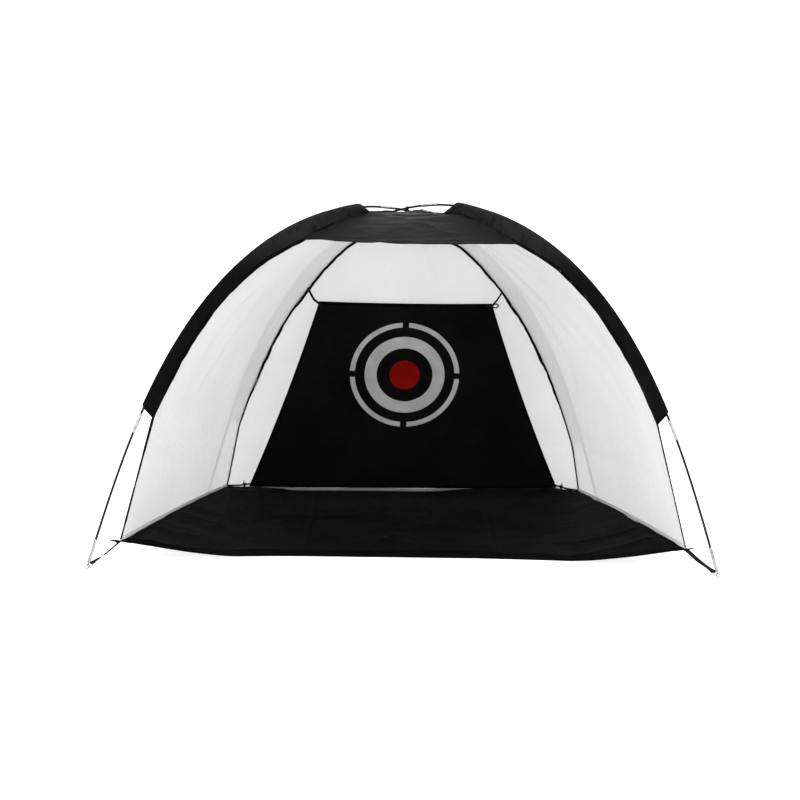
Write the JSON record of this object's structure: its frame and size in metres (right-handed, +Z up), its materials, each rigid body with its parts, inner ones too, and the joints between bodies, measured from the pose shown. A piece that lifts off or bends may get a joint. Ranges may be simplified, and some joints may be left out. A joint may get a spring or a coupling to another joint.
{
  "type": "golf chipping net",
  "caption": "Dome-shaped golf chipping net on two crossed shock-corded rods, with netting sides and back, a cloth floor and a hanging target sheet.",
  "frame": {"origin": "on the ground, under the middle of the object's box", "axes": "+X to the right as seen from the open front, +Y to the back, +Z up"},
  "size_m": [2.0183, 1.4174, 1.1569],
  "materials": {
    "rod_fibreglass": "satin",
    "steel": "satin",
    "shock_cord": "matte",
    "webbing": "matte",
    "black_cloth": "matte",
    "target_cloth": "matte",
    "netting": "matte"
  },
  "bodies": {
    "tent": {"left_rod_section_1": "rod_fibreglass", "left_rod_section_2": "rod_fibreglass", "left_rod_section_3": "rod_fibreglass", "left_rod_section_4": "rod_fibreglass", "left_rod_section_5": "rod_fibreglass", "left_rod_section_6": "rod_fibreglass", "left_rod_section_7": "rod_fibreglass", "left_rod_section_8": "rod_fibreglass", "left_rod_ferrule_1": "steel", "left_rod_ferrule_2": "steel", "left_rod_ferrule_3": "steel", "left_rod_ferrule_4": "steel", "left_rod_ferrule_5": "steel", "left_rod_ferrule_6": "steel", "left_rod_ferrule_7": "steel", "left_rod_shock_cord": "shock_cord", "right_rod_section_1": "rod_fibreglass", "right_rod_section_2": "rod_fibreglass", "right_rod_section_3": "rod_fibreglass", "right_rod_section_4": "rod_fibreglass", "right_rod_section_5": "rod_fibreglass", "right_rod_section_6": "rod_fibreglass", "right_rod_section_7": "rod_fibreglass", "right_rod_section_8": "rod_fibreglass", "right_rod_ferrule_1": "steel", "right_rod_ferrule_2": "steel", "right_rod_ferrule_3": "steel", "right_rod_ferrule_4": "steel", "right_rod_ferrule_5": "steel", "right_rod_ferrule_6": "steel", "right_rod_ferrule_7": "steel", "right_rod_shock_cord": "shock_cord", "front_left_rod_tip": "steel", "front_left_foot_pin": "steel", "front_left_strap": "webbing", "front_left_sleeve": "black_cloth", "front_right_rod_tip": "steel", "front_right_foot_pin": "steel", "front_right_strap": "webbing", "front_right_sleeve": "black_cloth", "rear_left_rod_tip": "steel", "rear_left_foot_pin": "steel", "rear_left_strap": "webbing", "rear_left_sleeve": "netting", "rear_right_rod_tip": "steel", "rear_right_foot_pin": "steel", "rear_right_strap": "webbing", "rear_right_sleeve": "netting", "net_left": "netting", "net_right": "netting", "net_rear": "netting", "roof": "black_cloth", "floor": "black_cloth", "crossing_tie": "webbing"},
    "target": {"target_sheet": "target_cloth"},
    "front_left_ring": {"front_left_foot_ring": "steel"},
    "front_right_ring": {"front_right_foot_ring": "steel"},
    "rear_left_ring": {"rear_left_foot_ring": "steel"},
    "rear_right_ring": {"rear_right_foot_ring": "steel"}
  },
  "joints": [
    {"name": "target_swing", "type": "hinge", "parent": "tent", "child": "target", "pos_m": [0, 0.394, 0.78], "axis": [1, 0, 0], "range_deg": [0, 6]},
    {"name": "front_left_ring_rock", "type": "hinge", "parent": "tent", "child": "front_left_ring", "pos_m": [-0.99084, -0.69365, 0.01644], "axis": [-0.6259, 0.7799, 0], "range_deg": [0, 13]},
    {"name": "front_right_ring_rock", "type": "hinge", "parent": "tent", "child": "front_right_ring", "pos_m": [0.9908, -0.69362, 0.01642], "axis": [-0.6259, -0.7799, 0], "range_deg": [0, 13]},
    {"name": "rear_left_ring_rock", "type": "hinge", "parent": "tent", "child": "rear_left_ring", "pos_m": [-0.73708, 0.69304, 0.01448], "axis": [0.6259, 0.7799, 0], "range_deg": [0, 13]},
    {"name": "rear_right_ring_rock", "type": "hinge", "parent": "tent", "child": "rear_right_ring", "pos_m": [0.73712, 0.69307, 0.01449], "axis": [0.6259, -0.7799, 0], "range_deg": [0, 13]}
  ]
}
